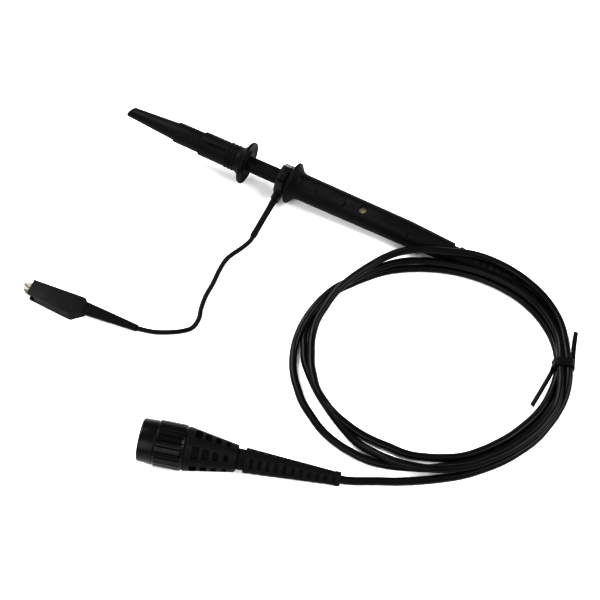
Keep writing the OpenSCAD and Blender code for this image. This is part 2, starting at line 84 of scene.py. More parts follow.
S_RING = 71.0
S_PLUG_JOINT = 7.5
CLIP_PIVOT = 6.0
ring_joint = JOINTS["ground_ring_swivel"]
plug_joint = JOINTS["bnc_collar_turn"]
HEAD = along(ring_joint["pos_m"], flipped(ring_joint["axis"]), S_RING)
PLUG = along(plug_joint["pos_m"], plug_joint["axis"], S_PLUG_JOINT)
clip_pivot = Vector(JOINTS["clip_jaw_open"]["pos_m"])
CLIP = along((clip_pivot.x, clip_pivot.y, 0), flipped(MOUNTS["clip_jaws"]["axis"]), CLIP_PIVOT)
TABLE = Matrix.Scale(MM, 4)

# stations along the head
S_TIP = -1.3
S_STEP1 = 21.5
S_STEP2 = 33.5
S_FLANGE = 55.0
S_GUARD = 73.1
S_WIDE = 74.7
S_SEAM = 127.0
S_TAIL = 145.5
S_BOOT = 148.0
HEAD_LEN = 172.0
S_PAD = S_SEAM - 34.5
S_TRIMMER = S_SEAM - 20.5
S_GATE = 118.0
S_LATCH = 84.6
PAD_TURN = 19
TRIMMER_TURN = 13

# radii along the head, where two pieces meet
CORE_BORE_R = 3.06
SLIDE_BORE_R = 3.31
SPRING_ROOM_R = 4.15
SHAFT_R = 3.25
SHAFT_BORE_R = 3.27
BARREL_BORE_R = 4.0
TAIL_PLUG_R = 3.98
BOOT_PLUG_R = 1.98
CABLE_BORE_R = 1.52

# stations and radii along the plug
COLLAR_LEN = 15.2
P_HOUSING = 16.7
P_NECK = 35.4
P_BOOT = 38.1
PLUG_LEN = 73.1
MOUTH_DEPTH = 3.4
CABLE_CORE_START = 27.8
COLLAR_R = 8.4
COLLAR_MOUTH_R = 6.2
COLLAR_BORE_R = 7.02
SKIRT_BORE_R = 7.46
KNURL_START = 6.3
KNURL_RIBS = 24

# the cable is drawn a little thin, so that turns that touch don't cut into each other
CABLE_R = 1.5
CABLE_SLACK = 0.02
LEAD_R = 0.9


# ---------------------------------------------------------------- mesh tools

def finished(name, bm):
    """Object from a bmesh, which it frees."""
    bmesh.ops.remove_doubles(bm, verts=bm.verts, dist=1e-5)
    bmesh.ops.recalc_face_normals(bm, faces=bm.faces)
    mesh = bpy.data.meshes.new(name)
    bm.to_mesh(mesh)
    bm.free()
    piece = bpy.data.objects.new(name, mesh)
    bpy.context.scene.collection.objects.link(piece)
    return piece


def soften(points, radius, steps=4):
    """Rounds the inner corners of an open 2-D line; radius is one number or one for each point."""
    out = [Vector(points[0])]
    for i in range(1, len(points) - 1):
        corner, before, after = Vector(points[i]), Vector(points[i - 1]), Vector(points[i + 1])
        r = radius[i] if isinstance(radius, (list, tuple)) else radius
        cut = min(r, 0.45 * (before - corner).length, 0.45 * (after - corner).length)
        if cut < 0.01:
            out.append(corner)
            continue
        a = corner + (before - corner).normalized() * cut
        b = corner + (after - corner).normalized() * cut
        for k in range(steps + 1):
            t = k / steps
            out.append(a * (1 - t) ** 2 + corner * 2 * t * (1 - t) + b * t * t)
    out.append(Vector(points[-1]))
    return [tuple(p) for p in out]


def loop_softened(points, radius, steps=4):
    """The same for a closed line, which starts and ends halfway along its last side."""
    middle = tuple((Vector(points[0]) + Vector(points[-1])) / 2)
    radii = [0, *radius, 0] if isinstance(radius, (list, tuple)) else radius
    return soften([middle, *points, middle], radii, steps)[:-1]


def turned(name, profile, sides=96, radius_of=None):
    """Solid of revolution about x from (station, radius) pairs, closed on the axis or as a loop.
    radius_of(station, radius, angle) may change a radius, as for knurling."""
    bm = bmesh.new()
    on_axis = profile[0][1] < 1e-6
    rings = []
    for s, r in profile:
        if r < 1e-6:
            rings.append([bm.verts.new((s, 0, 0))] * sides)
            continue
        ring = []
        for k in range(sides):
            a = TURN * k / sides
            rr = radius_of(s, r, a) if radius_of else r
            ring.append(bm.verts.new((s, -rr * math.sin(a), rr * math.cos(a))))
        rings.append(ring)
    count = len(rings)
    for i in range(count - 1 if on_axis else count):
        a, b = rings[i], rings[(i + 1) % count]
        for k in range(sides):
            j = (k + 1) % sides
            corners = list(dict.fromkeys((a[k], a[j], b[j], b[k])))
            if len(corners) > 2:
                bm.faces.new(corners)
    return finished(name, bm)


def prism(name, outline, low, high, axis="z"):
    """Outline of 2-D points, extruded along z (points are x, y) or along x (points are y, z)."""
    bm = bmesh.new()
    rings = []
    for h in (low, high):
        corners = [(h, *p) if axis == "x" else (*p, h) for p in outline]
        rings.append([bm.verts.new(corner) for corner in corners])
    count = len(outline)
    for ring in rings:
        bm.faces.new(ring)
    for k in range(count):
        j = (k + 1) % count
        bm.faces.new((rings[0][k], rings[0][j], rings[1][j], rings[1][k]))
    return finished(name, bm)


def loft(name, rings):
    """Closed skin through rings of equally many points."""
    bm = bmesh.new()
    made = [[bm.verts.new(p) for p in ring] for ring in rings]
    count = len(made[0])
    bm.faces.new(made[0])
    bm.faces.new(made[-1])
    for a, b in zip(made, made[1:]):
        for k in range(count):
            j = (k + 1) % count
            bm.faces.new((a[k], a[j], b[j], b[k]))
    return finished(name, bm)


def circle(radius, count, centre=(0, 0)):
    angles = [TURN * k / count for k in range(count)]
    return [(centre[0] + radius * math.cos(a), centre[1] + radius * math.sin(a)) for a in angles]


def rectangle(low, high):
    return [(low[0], low[1]), (high[0], low[1]), (high[0], high[1]), (low[0], high[1])]


def obround(length, width, steps=12):
    """Slot outline with round ends."""
    r = width / 2
    ends = []
    for side in (1, -1):
        for k in range(steps + 1):
            a = -math.pi / 2 + math.pi * k / steps
            ends.append((side * (length / 2 - r + r * math.cos(a)), side * r * math.sin(a)))
    return ends


def smoothed(points, per_span=8):
    """Catmull-Rom line through the points."""
    knots = [Vector(p) for p in points]
    knots = [2 * knots[0] - knots[1], *knots, 2 * knots[-1] - knots[-2]]
    out = []
    for a, b, c, d in zip(knots, knots[1:], knots[2:], knots[3:]):
        for k in range(per_span):
            t = k / per_span
            out.append(0.5 * (2 * b + (c - a) * t + (2 * a - 5 * b + 4 * c - d) * t * t
                              + (3 * b - a - 3 * c + d) * t ** 3))
    return out + [knots[-2]]


def swept(name, path, section, up=None):
    """Section (side, up) carried along a path. up holds one side upright; else the section is carried
    along without turning."""
    points = [Vector(p) for p in path]
    last = len(points) - 1
    normal = None
    rings = []
    for i, p in enumerate(points):
        tangent = (points[min(i + 1, last)] - points[max(i - 1, 0)]).normalized()
        if up is not None:
            normal = Vector(up)
        elif normal is None:
            normal = Vector((0, 0, 1)) if abs(tangent.z) < 0.9 else Vector((1, 0, 0))
        normal = (normal - tangent * normal.dot(tangent)).normalized()
        side = tangent.cross(normal)
        rings.append([p + side * u + normal * v for u, v in section])
    return loft(name, rings)


def closed_band(name, path, section):
    """Ring-shaped band about the y axis; the section's first number runs along y."""
    bm = bmesh.new()
    count = len(path)
    rings = []
    for i, p in enumerate(path):
        before, after = Vector(path[i - 1]), Vector(path[(i + 1) % count])
        tangent = (after - before).normalized()
        out = tangent.cross(Vector((0, 1, 0))).normalized()
        rings.append([bm.verts.new(Vector(p) + Vector((0, u, 0)) + out * v) for u, v in section])
    for i in range(count):
        a, b = rings[i], rings[(i + 1) % count]
        for k in range(len(section)):
            j = (k + 1) % len(section)
            bm.faces.new((a[k], a[j], b[j], b[k]))
    return finished(name, bm)


def turn_by(degrees, axis):
    """Rotation about the axis X, Y or Z."""
    return Matrix.Rotation(math.radians(degrees), 4, axis)


def spun(piece, degrees, station=0):
    """Moves a piece along x to a station, then turns it about x."""
    piece.data.transform(turn_by(degrees, "X") @ Matrix.Translation((station, 0, 0)))
    return piece


def cylinder(name, radius, low, high, spin=0, station=0, sides=64):
    """Upright round bar at a station, from height low to high, turned about x by spin degrees."""
    return spun(prism(name, circle(radius, sides, (station, 0)), low, high), spin)


def block(name, low, high):
    """Box between two corners."""
    return prism(name, rectangle(low, high), low[2], high[2])


def joined(pieces):
    """One object of several, which are used up."""
    bm = bmesh.new()
    for p in pieces:
        bm.from_mesh(p.data)
        bpy.data.objects.remove(p)
    return finished("joined", bm)


def modified(piece, kind, **settings):
    """Adds a modifier and applies it."""
    modifier = piece.modifiers.new("step", kind)
    for key, value in settings.items():
        setattr(modifier, key, value)
    bpy.context.view_layer.update()
    evaluated = piece.evaluated_get(bpy.context.evaluated_depsgraph_get())
    mesh = bpy.data.meshes.new_from_object(evaluated)
    piece.modifiers.clear()
    piece.data = mesh
    return piece


def combined(piece, other, operation="DIFFERENCE"):
    """Exact boolean with another object, which is used up."""
    modified(piece, "BOOLEAN", object=other, operation=operation, solver="EXACT")
    bpy.data.objects.remove(other)
    return piece


def edged(piece, width, segments=2, angle=40):
    """Small round on every sharp edge."""
    return modified(piece, "BEVEL", width=width, segments=segments, limit_method="ANGLE",
                    angle_limit=math.radians(angle), use_clamp_overlap=True, miter_outer="MITER_ARC")


def shaded(piece):
    """Smooth shading, apart from edges that turn by more than 34 degrees."""
    for polygon in piece.data.polygons:
        polygon.use_smooth = True
    piece.data.set_sharp_from_angle(angle=math.radians(34))


# ---------------------------------------------------------------- materials

class Look:
    """A Principled material with helpers that add and link nodes."""

    def __init__(self, name):
        self.material = bpy.data.materials.new(name)
        self.material.use_nodes = True
        self.tree = self.material.node_tree
        self.shader = self.tree.nodes["Principled BSDF"]
        self.coordinates = self.node("ShaderNodeTexCoord").outputs["Object"]

    def node(self, kind, **settings):
        made = self.tree.nodes.new(kind)
        for key, value in settings.items():
            setattr(made, key, value)
        return made

    def link(self, source, target):
        self.tree.links.new(source, target)

    def set(self, **values):
        for key, value in values.items():
            self.shader.inputs[key.replace("_", " ")].default_value = value

    def noise(self, size_mm, detail=3.0, roughness=0.55, stretch=(1, 1, 1)):
        """Noise whose features are about size_mm across."""
        mapping = self.node("ShaderNodeMapping")
        mapping.inputs["Scale"].default_value = [v / (size_mm * MM) for v in stretch]
        self.link(self.coordinates, mapping.inputs["Vector"])
        made = self.node("ShaderNodeTexNoise")
        made.inputs["Scale"].default_value = 1.0
        made.inputs["Detail"].default_value = detail
        made.inputs["Roughness"].default_value = roughness
        self.link(mapping.outputs["Vector"], made.inputs["Vector"])
        return made.outputs["Fac"]

    def ranged(self, source, low, high, out_low, out_high):
        made = self.node("ShaderNodeMapRange")
        for key, value in (("From Min", low), ("From Max", high), ("To Min", out_low), ("To Max", out_high)):
            made.inputs[key].default_value = value
        self.link(source, made.inputs["Value"])
        return made.outputs["Result"]

    def sum(self, a, b, operation="ADD"):
        made = self.node("ShaderNodeMath", operation=operation)
        made.use_clamp = operation == "ADD"
        self.link(a, made.inputs[0])
        if isinstance(b, (int, float)):
            made.inputs[1].default_value = b
        else:
            self.link(b, made.inputs[1])
        return made.outputs["Value"]

    def mixed(self, factor, a, b):
        made = self.node("ShaderNodeMix", data_type="RGBA")
        self.link(factor, made.inputs["Factor"])
        inputs = [i for i in made.inputs if i.type == "RGBA"]
        for socket, value in zip(inputs, (a, b)):
            if isinstance(value, (tuple, list)):
                socket.default_value = (*value, 1)
            else:
                self.link(value, socket)
        return next(o for o in made.outputs if o.type == "RGBA")

    def edges(self):
        """1 on outer edges, 0 elsewhere: rubbed edges, with a painted highlight along them."""
        return self.ranged(self.node("ShaderNodeNewGeometry").outputs["Pointiness"], 0.53, 0.62, 0.0, 1.0)

    def bump(self, height, strength, distance_mm):
        made = self.node("ShaderNodeBump")
        made.inputs["Strength"].default_value = strength
        made.inputs["Distance"].default_value = distance_mm * MM
        self.link(height, made.inputs["Height"])
        self.link(made.outputs["Normal"], self.shader.inputs["Normal"])


GRAIN_DEPTH_MM = 0.012
TARNISH = 0.25


def scaled(colour, factor):
    return tuple(min(1.0, c * factor) for c in colour)


def moulded(name, colour, roughness, grain_mm=0.22, grain=0.5, edge_rub_and_highlight=0.35, scuffs=0.1, specular=0.14):
    """Moulded plastic, rubber or jacket: spark-eroded grain, cloudy colour, scuffs and paler edges that are partly
    rubbed and partly painted highlight.
    """
    look = Look(name)
    cloud = look.noise(6.0, 3.0)
    fine = look.noise(grain_mm, 2.0, 0.7)
    streaks = look.noise(0.9, 4.0, 0.7, (0.12, 1.0, 1.0))
    body = look.mixed(look.ranged(cloud, 0.35, 0.65, 0.0, 1.0), scaled(colour, 0.86), scaled(colour, 1.2))
    dusty = look.mixed(look.ranged(fine, 0.62, 0.8, 0.0, 0.22), body, scaled(colour, 2.6))
    # paler edges: partly rubbed, partly a painted highlight along them
    rubbed_and_highlit = look.sum(look.edges(), edge_rub_and_highlight, "MULTIPLY")
    look.link(look.mixed(rubbed_and_highlit, dusty, scaled(colour, 4.5)), look.shader.inputs["Base Color"])
    base = look.ranged(cloud, 0.3, 0.7, roughness - 0.04, roughness + 0.04)
    rubbed = look.ranged(streaks, 0.56, 0.72, 0.0, scuffs)
    look.link(look.sum(base, rubbed), look.shader.inputs["Roughness"])
    look.set(Specular_IOR_Level=specular)
    look.bump(look.sum(fine, look.sum(streaks, 0.25, "MULTIPLY")), grain, GRAIN_DEPTH_MM)
    return look.material


def metal(name, colour, roughness, stretch=(0.1, 1.0, 1.0)):
    """Plated or drawn metal: fine drawing marks, soft tarnish in the cloudy patches."""
    look = Look(name)
    cloud = look.noise(2.2, 3.0)
    marks = look.noise(0.12, 3.0, 0.6, stretch)
    dull = look.mixed(look.ranged(cloud, 0.45, 0.75, 0.0, TARNISH), colour, scaled(colour, 0.45))
    # lighter edges: partly rubbed, partly a painted highlight along them
    look.link(look.mixed(look.sum(look.edges(), 0.3, "MULTIPLY"), dull, scaled(colour, 1.15)),
              look.shader.inputs["Base Color"])
    look.link(look.sum(look.ranged(marks, 0.35, 0.7, roughness - 0.05, roughness + 0.1),
                       look.ranged(cloud, 0.5, 0.75, 0.0, 0.08)), look.shader.inputs["Roughness"])
    look.set(Metallic=1.0)
    look.bump(marks, 0.25, 0.006)
    return look.material


def laminate(name):
    """Solder-masked glass laminate with the weave showing faintly through."""
    look = Look(name)
    weave = look.noise(0.5, 1.0, 0.5, (1.0, 0.25, 1.0))
    look.link(look.mixed(look.ranged(weave, 0.4, 0.6, 0.0, 1.0), (0.03, 0.14, 0.06), (0.06, 0.24, 0.1)),
              look.shader.inputs["Base Color"])
    look.link(look.ranged(weave, 0.3, 0.7, 0.28, 0.4), look.shader.inputs["Roughness"])
    look.bump(weave, 0.3, 0.02)
    return look.material


def table_top(name):
    """White paper sweep."""
    look = Look(name)
    fibre = look.noise(1.5, 4.0)
    look.link(look.mixed(look.ranged(fibre, 0.3, 0.7, 0.0, 1.0), (0.93, 0.93, 0.93), (0.95, 0.95, 0.95)),
              look.shader.inputs["Base Color"])
    look.set(Roughness=0.9, Specular_IOR_Level=0.1)
    return look.material


# colour, roughness and whatever differs from the usual grain, paler edges (rubbed, and painted highlight) and
# shine
MOULDED = {
    "black_plastic": ((0.004, 0.004, 0.0044), 0.52, {}),
    "pad_plastic": ((0.005, 0.005, 0.0055), 0.55, {"grain_mm": 0.3, "grain": 0.7}),
    "ring_plastic": ((0.0045, 0.005, 0.0065), 0.32, {"grain": 0.15, "scuffs": 0.16, "specular": 0.24}),
    "collar_plastic": ((0.0035, 0.0035, 0.0038), 0.3, {"grain": 0.2, "scuffs": 0.14, "specular": 0.22}),
    "boot_rubber": ((0.004, 0.004, 0.0043), 0.6, {"grain_mm": 0.16, "grain": 0.55}),
    "clip_vinyl": ((0.0034, 0.0034, 0.0037), 0.52, {"grain_mm": 0.35, "grain": 0.35}),
    "cable_pvc": ((0.0022, 0.0022, 0.0024), 0.36,
                  {"grain_mm": 0.5, "grain": 0.2, "edge_rub_and_highlight": 0.1, "specular": 0.22}),
    "lead_pvc": ((0.0042, 0.0042, 0.0045), 0.42, {"grain_mm": 0.35, "grain": 0.3, "edge_rub_and_highlight": 0.1}),
    "tie_pvc": ((0.004, 0.004, 0.0043), 0.42, {"grain_mm": 0.3}),
    "core_plastic": ((0.62, 0.6, 0.54), 0.45, {"edge_rub_and_highlight": 0.05}),
    "ptfe": ((0.85, 0.84, 0.8), 0.5, {"edge_rub_and_highlight": 0.0}),
    "ceramic": ((0.82, 0.77, 0.62), 0.6, {"grain": 0.8, "edge_rub_and_highlight": 0.0}),
    "resistor_body": ((0.2, 0.09, 0.05), 0.25, {"grain": 0.2, "edge_rub_and_highlight": 0.05}),
    "gasket": ((0.3, 0.31, 0.33), 0.6, {"edge_rub_and_highlight": 0.05}),
}
METALS = {
    "nickel": ((0.1, 0.094, 0.083), 0.36, {}),
    "spring_steel": ((0.4, 0.4, 0.38), 0.3, {}),
    "gold_contact": ((0.5, 0.37, 0.15), 0.26, {}),
    "brass": ((0.46, 0.42, 0.29), 0.36, {"stretch": (1, 1, 1)}),
}
LOOKS = {}
for make_look, table in ((moulded, MOULDED), (metal, METALS)):
    for look_name, (colour, roughness, rest) in table.items():
        LOOKS[look_name] = make_look(look_name, colour, roughness, **rest)
LOOKS["board"] = laminate("board")
SLOT_OF = {s["node"]: s["material_slot"] for s in frame["record"]["subparts"]}


def place(piece, where, body, slot, *nodes):
    """Moves a piece from its own frame to the table, and gives it its body, slot and material."""
    piece.data.transform(where)
    piece.data.materials.clear()
    piece.data.materials.append(LOOKS[slot])
    shaded(piece)
    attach(piece, body)
    if nodes:
        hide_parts(*nodes)
    return piece


# ---------------------------------------------------------------- camera, light and table

LOOK_AT = Vector((0.0136, -0.0437, 0))
VIEW_AZIMUTH = math.radians(26)
VIEW_ELEVATION = math.radians(60)
VIEW_DISTANCE = 0.458
FLOOR_HALF = 3.0
FLOOR_DEPTH = 0.02
LAMP_AIM = Vector((0.02, -0.04, 0))
LAMP_SIDE = 0.9
LAMPS = [("key_light", (-0.95, 0.3, 1.0), 27), ("fill_light", (0.95, 0.2, 1.0), 20),
         ("front_light", (-0.1, -1.0, 0.85), 12)]


def set_camera():
    """Long lens at the photo's angle."""
    data = bpy.data.cameras.new("camera")
    camera = bpy.data.objects.new("camera", data)
    bpy.context.scene.collection.objects.link(camera)
    bpy.context.scene.camera = camera
    level = math.cos(VIEW_ELEVATION)
    back = Vector((math.sin(VIEW_AZIMUTH) * level, -math.cos(VIEW_AZIMUTH) * level, math.sin(VIEW_ELEVATION)))
    camera.location = LOOK_AT + back * VIEW_DISTANCE
    camera.rotation_mode = "QUATERNION"
    camera.rotation_quaternion = (-back).to_track_quat("-Z", "Y")
    data.lens = 70
    data.sensor_width = 36
    data.clip_start = 0.01


def softbox(name, place_at, power):
    """Square lamp that looks at the part."""
    data = bpy.data.lights.new(name, "AREA")
    data.shape = "RECTANGLE"
    data.size = data.size_y = LAMP_SIDE
    data.energy = power
    lamp = bpy.data.objects.new(name, data)
    lamp.location = place_at
    lamp.rotation_mode = "QUATERNION"
    lamp.rotation_quaternion = (LAMP_AIM - Vector(place_at)).to_track_quat("-Z", "Y")
    bpy.context.scene.collection.objects.link(lamp)


def set_floor():
    """White table top, far wider than the view."""
    corner = (FLOOR_HALF, FLOOR_HALF)
    floor = prism("table", rectangle(flipped(corner), corner), -FLOOR_DEPTH, 0.0)
    floor.data.materials.append(table_top("table_top"))


def set_light():
    """Even white surroundings and three soft lamps."""
    world = bpy.data.worlds.new("studio")
    world.use_nodes = True
    background = world.node_tree.nodes["Background"]
    background.inputs["Color"].default_value = (1, 1, 1, 1)
    background.inputs["Strength"].default_value = 0.3
    bpy.context.scene.world = world
    for name, place_at, power in LAMPS:
        softbox(name, place_at, power)
    view = bpy.context.scene.view_settings
    view.view_transform = "Standard"
    view.exposure = 0.55
    view.gamma = 0.6


# ---------------------------------------------------------------- the cable

# the oval that the coil is wound on
COIL_CENTRE = Vector((69.2, -47.2, 0))
COIL_A = 47.0
COIL_B = 37.5
COIL_TURN = math.radians(26)


def on_oval(angle, offset, height):
    """Point beside the oval: angle in degrees, offset outwards and height in millimetres."""
    t = math.radians(angle)
    flat = Vector(((COIL_A + offset) * math.cos(t), (COIL_B + offset) * math.sin(t), height))
    return COIL_CENTRE + Matrix.Rotation(COIL_TURN, 3, "Z") @ flat


def eased(table, angle):
    """Offset and height at an angle, between the (angle, offset, height) stops of a table."""
    for (a0, d0, z0), (a1, d1, z1) in zip(table, table[1:]):
        if a1 <= angle <= a0:
            f = (a0 - angle) / (a0 - a1)
            f = f * f * (3 - 2 * f)
            return d0 + (d1 - d0) * f, z0 + (z1 - z0) * f
    raise ValueError(f"no stops round {angle}")


# how each turn lies, as it goes round from the tie: under the bundle and outermost at the left,
# then on top and inside it, then innermost, until it climbs over the others and the probe's tail
TURNS = [
    [(-4, 5.3, 2.05), (-12, 4.7, 1.8), (-28, 3.8, 1.5), (-50, 3.8, 1.5), (-66, 4.7, 1.5),
     (-80, 5.2, 1.5), (-96, 6.1, 1.5), (-116, 7.4, 1.5), (-133, 6.8, 1.5), (-150, 5.3, 1.5),
     (-166, 4.4, 1.5), (-184, 4.1, 1.6), (-200, 3.8, 3.2), (-213, 3.6, 4.3), (-226, 3.9, 4.5),
     (-237, 3.4, 4.4), (-250, 4.7, 4.4), (-262, 5.4, 4.5), (-290, 4.7, 4.5), (-326, 4.8, 4.5),
     (-345, 4.2, 4.6), (-364, 2.6, 5.0)],
    [(-4, 2.6, 5.0), (-12, 3.2, 4.8), (-28, 5.1, 4.3), (-46, 5.9, 4.2), (-62, 6.5, 4.1),
     (-78, 7.4, 4.0), (-92, 7.2, 4.3), (-104, 6.3, 4.3), (-112, 5.0, 3.5), (-120, 3.2, 1.7),
     (-135, 0.6, 1.5), (-143, -1.2, 1.5), (-152, -1.9, 1.5), (-162, -2.0, 1.5), (-172, -1.4, 1.5),
     (-185, 0.1, 1.5), (-200, 2.0, 1.5), (-213, 3.4, 1.5), (-225, 4.1, 1.5), (-240, 3.5, 1.5),
     (-254, 3.9, 1.5), (-275, 3.6, 1.5), (-312, 3.3, 1.5), (-345, 2.8, 1.6), (-364, 2.3, 2.05)],
    [(-4, 2.3, 2.05), (-20, 1.4, 1.6), (-46, 0.8, 1.5), (-60, 1.3, 1.5), (-78, 2.3, 1.5),
     (-96, 1.7, 1.5), (-116, -0.6, 1.5), (-137, -1.6, 1.6), (-153, -1.4, 4.3), (-172, -2.6, 4.4),
     (-183, -2.7, 4.2)],
]
TURN_STEP = 8

# the cable from the head's boot down to the coil, in x, y, z
BOOT_END = [85.82, 0, 2.48]
LEAD_IN = [BOOT_END, [87.8, 0, 2.35], [91.5, -0.2, 2.1], [97, -2, 2], [102, -5, 2], [107, -9.4, 2],
           [111.2, -15, 2], [114.6, -21, 2]]
# its last stretch, over the probe's tail and out to the plug, in angle, offset and height on the oval
CROSSING = [[177, -2.7, 4.1], [168, -2, 3.9], [160, -1.1, 3.9], [153, -0.4, 4.6], [146, 0, 5.6],
            [140, 0.7, 6.6], [134, 1.5, 7.3], [127, 2.4, 7.5], [120, 3.6, 7.5], [113, 5, 7.6],
            [106, 6.6, 8], [98, 7.6, 8.8], [90, 7.6, 9.3], [82, 7.3, 9.4], [76, 7.7, 9.2],
            [70, 8.6, 8.7], [64, 9.3, 7.7], [58, 9.7, 6.7], [51, 9.7, 6], [44, 9.4, 5.6],
            [35, 8.8, 5.4], [26, 8, 5.2], [17, 7, 5.1], [8, 5.8, 5], [0, 5.4, 4.9]]
LEAD_OUT = [[-6, 5.7, 4.8], [-12, 6.1, 4.4], [-20, 6.6, 3], [-28, 6.7, 1.7], [-38, 6.9, 1.5],
            [-46, 7.4, 1.5], [-55, 7.7, 1.5], [-63, 8.2, 1.5], [-72, 8.7, 1.5], [-80, 9.4, 1.5],
            [-88, 10, 1.5], [-95, 10.9, 1.5], [-102, 12.2, 1.6], [-109, 13.9, 1.9]]


def cable_route():
    """The whole cable from the boot to the plug, in millimetres."""
    route = [Vector(p) for p in LEAD_IN]
    for table in TURNS:
        first, last = table[0][0], table[-1][0]
        steps = round((first - last) / TURN_STEP)
        for k in range(steps):
            angle = first + (last - first) * k / steps
            offset, height = eased(table, angle)
            route.append(on_oval(angle, offset, height))
    route += [on_oval(*p) for p in CROSSING + LEAD_OUT]
    inside = [PLUG @ Vector((s, 0, 0)) / MM for s in (PLUG_LEN + 2, PLUG_LEN, 58, 43, CABLE_CORE_START)]
    return route + inside


def smooth_curve(name, points, radius):
    """Curve of one smooth open spline through the points, in metres."""
    data = bpy.data.curves.new(name, "CURVE")
    data.dimensions = "3D"
    data.bevel_depth = radius * MM
    data.bevel_resolution = 7
    data.resolution_u = 8
    data.use_fill_caps = True
    spline = data.splines.new("BEZIER")
    spline.bezier_points.add(len(points) - 1)
    for knot, point in zip(spline.bezier_points, points):
        knot.co = Vector(point) * MM
        knot.handle_left_type = knot.handle_right_type = "AUTO"
    piece = bpy.data.objects.new(name, data)
    bpy.context.scene.collection.objects.link(piece)
    return piece


def make_cable():
    """One piece of cable in place of the CAD's lengths, so that it has no joins."""
    cable = smooth_curve("coaxial_cable", cable_route(), CABLE_R - CABLE_SLACK)
    cable.data.materials.append(LOOKS["cable_pvc"])
    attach(cable, "probe")
    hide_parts("cable_lead_in", "cable_coil", "cable_crossing", "cable_lead_out", "bnc_cable_inner")
    return cable


# ---------------------------------------------------------------- the twist tie

TIE_ANGLE = -4
TIE_OFFSET = 3.9
# flat band with a wire along its middle, as (along the bundle, outwards)
TIE_SECTION = [(-0.85, -0.2), (-0.35, -0.22), (0, -0.34), (0.35, -0.22), (0.85, -0.2),
               (0.85, 0.2), (0.35, 0.22), (0, 0.34), (-0.35, 0.22), (-0.85, 0.2)]
# outline of a winding round the bundle, as (outwards from the coil, up)
TIE_LOW, TIE_HIGH, TIE_MIDDLE = 0.36, 6.85, 3.2
TIE_HALF = 3.3
TIE_BULGE = TIE_HALF + 0.75
TIE_LOOP = [(-TIE_HALF, TIE_LOW), (TIE_HALF, TIE_LOW), (TIE_BULGE, TIE_MIDDLE), (TIE_HALF, TIE_HIGH),
            (-TIE_HALF, TIE_HIGH), (-TIE_BULGE, TIE_MIDDLE)]
TIE_SPACING = 0.9
TIE_SWAY = 0.22
TIE_UPPER_END = [(3.6, 0.6, 3.4), (3.75, 2.6, 3.5), (4.1, 6, 3.4), (4.8, 10.5, 3.3), (5.5, 14.6, 3.4)]
TIE_LOWER_END = [(-3.7, -0.8, 3.0), (-4.3, -2.8, 2.8), (-6.4, -6.8, 2.2), (-9.2, -11.8, 1.5),
                 (-11.8, -16.4, 1.0)]


def tie_winding(side, section):
    """One winding, beside the middle on the given side."""
    ring = loop_softened(TIE_LOOP, 1.5, 8)
    path = []
    for i, (x, z) in enumerate(ring):
        sway = TIE_SWAY * side * math.sin(TURN * i / len(ring))
        path.append((x, side * TIE_SPACING + sway, z))
    return closed_band("winding", path, section)


def make_tie():
    """Flat coated wire, wound twice round the bundle, with its two ends sticking out."""
    section = loop_softened(TIE_SECTION, 0.12, 2)
    parts = [tie_winding(side, section) for side in (-1, 1)]
    parts.append(swept("upper_end", smoothed(TIE_UPPER_END), section, up=(0, 0, 1)))
    parts.append(swept("lower_end", smoothed(TIE_LOWER_END), section, up=(0.6, -0.3, 1)))
    tie = joined(parts)
    tie.name = "twist_tie_band"
    turn = Matrix.Rotation(COIL_TURN + math.radians(TIE_ANGLE), 4, "Z")
    where = TABLE @ Matrix.Translation(on_oval(TIE_ANGLE, TIE_OFFSET, 0)) @ turn
    return place(tie, where, "probe", "tie_pvc", "twist_tie")


# ---------------------------------------------------------------- the hook tip

HOOK_BORE_R = 1.4
CORE_STOP = 19.2
NOSE_CUT_TURN = -27
NOSE_CUT_PITCH = 6


def make_nose():
    """Two-step tapered tip, cut off slantwise."""
    profile = [(S_TIP, 2.2), (S_STEP1, 3.8), (S_STEP1, 4.3), (S_STEP2, 4.4), (S_STEP2, CORE_BORE_R),
               (CORE_STOP, CORE_BORE_R), (CORE_STOP, HOOK_BORE_R), (S_TIP, HOOK_BORE_R)]
    nose = turned("hook_nose", loop_softened(profile, 0.22, 4))
    cutter = block("end_cut", (-6, -8, -8), (0, 8, 8))
    cutter.data.transform(turn_by(NOSE_CUT_TURN, "Z") @ turn_by(NOSE_CUT_PITCH, "Y"))
    combined(nose, cutter)
    edged(nose, 0.12, 3)
    return place(nose, HEAD, "hook_sleeve_body", "black_plastic", "nose_cone")


SLEEVE_R = 5.1
FLANGE_R = 8.9
SLEEVE_RIBS = 3
S_RIBS = S_STEP2 + 12.0
RIB_PITCH = 1.6
SLEEVE_SLOT = ((S_STEP2 + 4, -0.6), (S_STEP2 + 11.5, 0.6))
# the slot stops at a thin black skin over the spring room: painted shade for the slot's dark inside, where the
# real slot goes through to the spring
SLEEVE_SLOT_SHADE_FLOOR = 4.25
SLEEVE_SLOT_TURN = 23


def flange_bowl():
    """The hollow curve that rises from the sleeve to its finger flange."""
    bowl = []
    for degrees in range(0, 76, 15):
        a = math.radians(degrees)
        bowl.append((S_FLANGE - 1.9 - 4 * (1 - math.sin(a)),
                     SLEEVE_R + (FLANGE_R - SLEEVE_R - 0.6) * (1 - math.cos(a))))
    return bowl


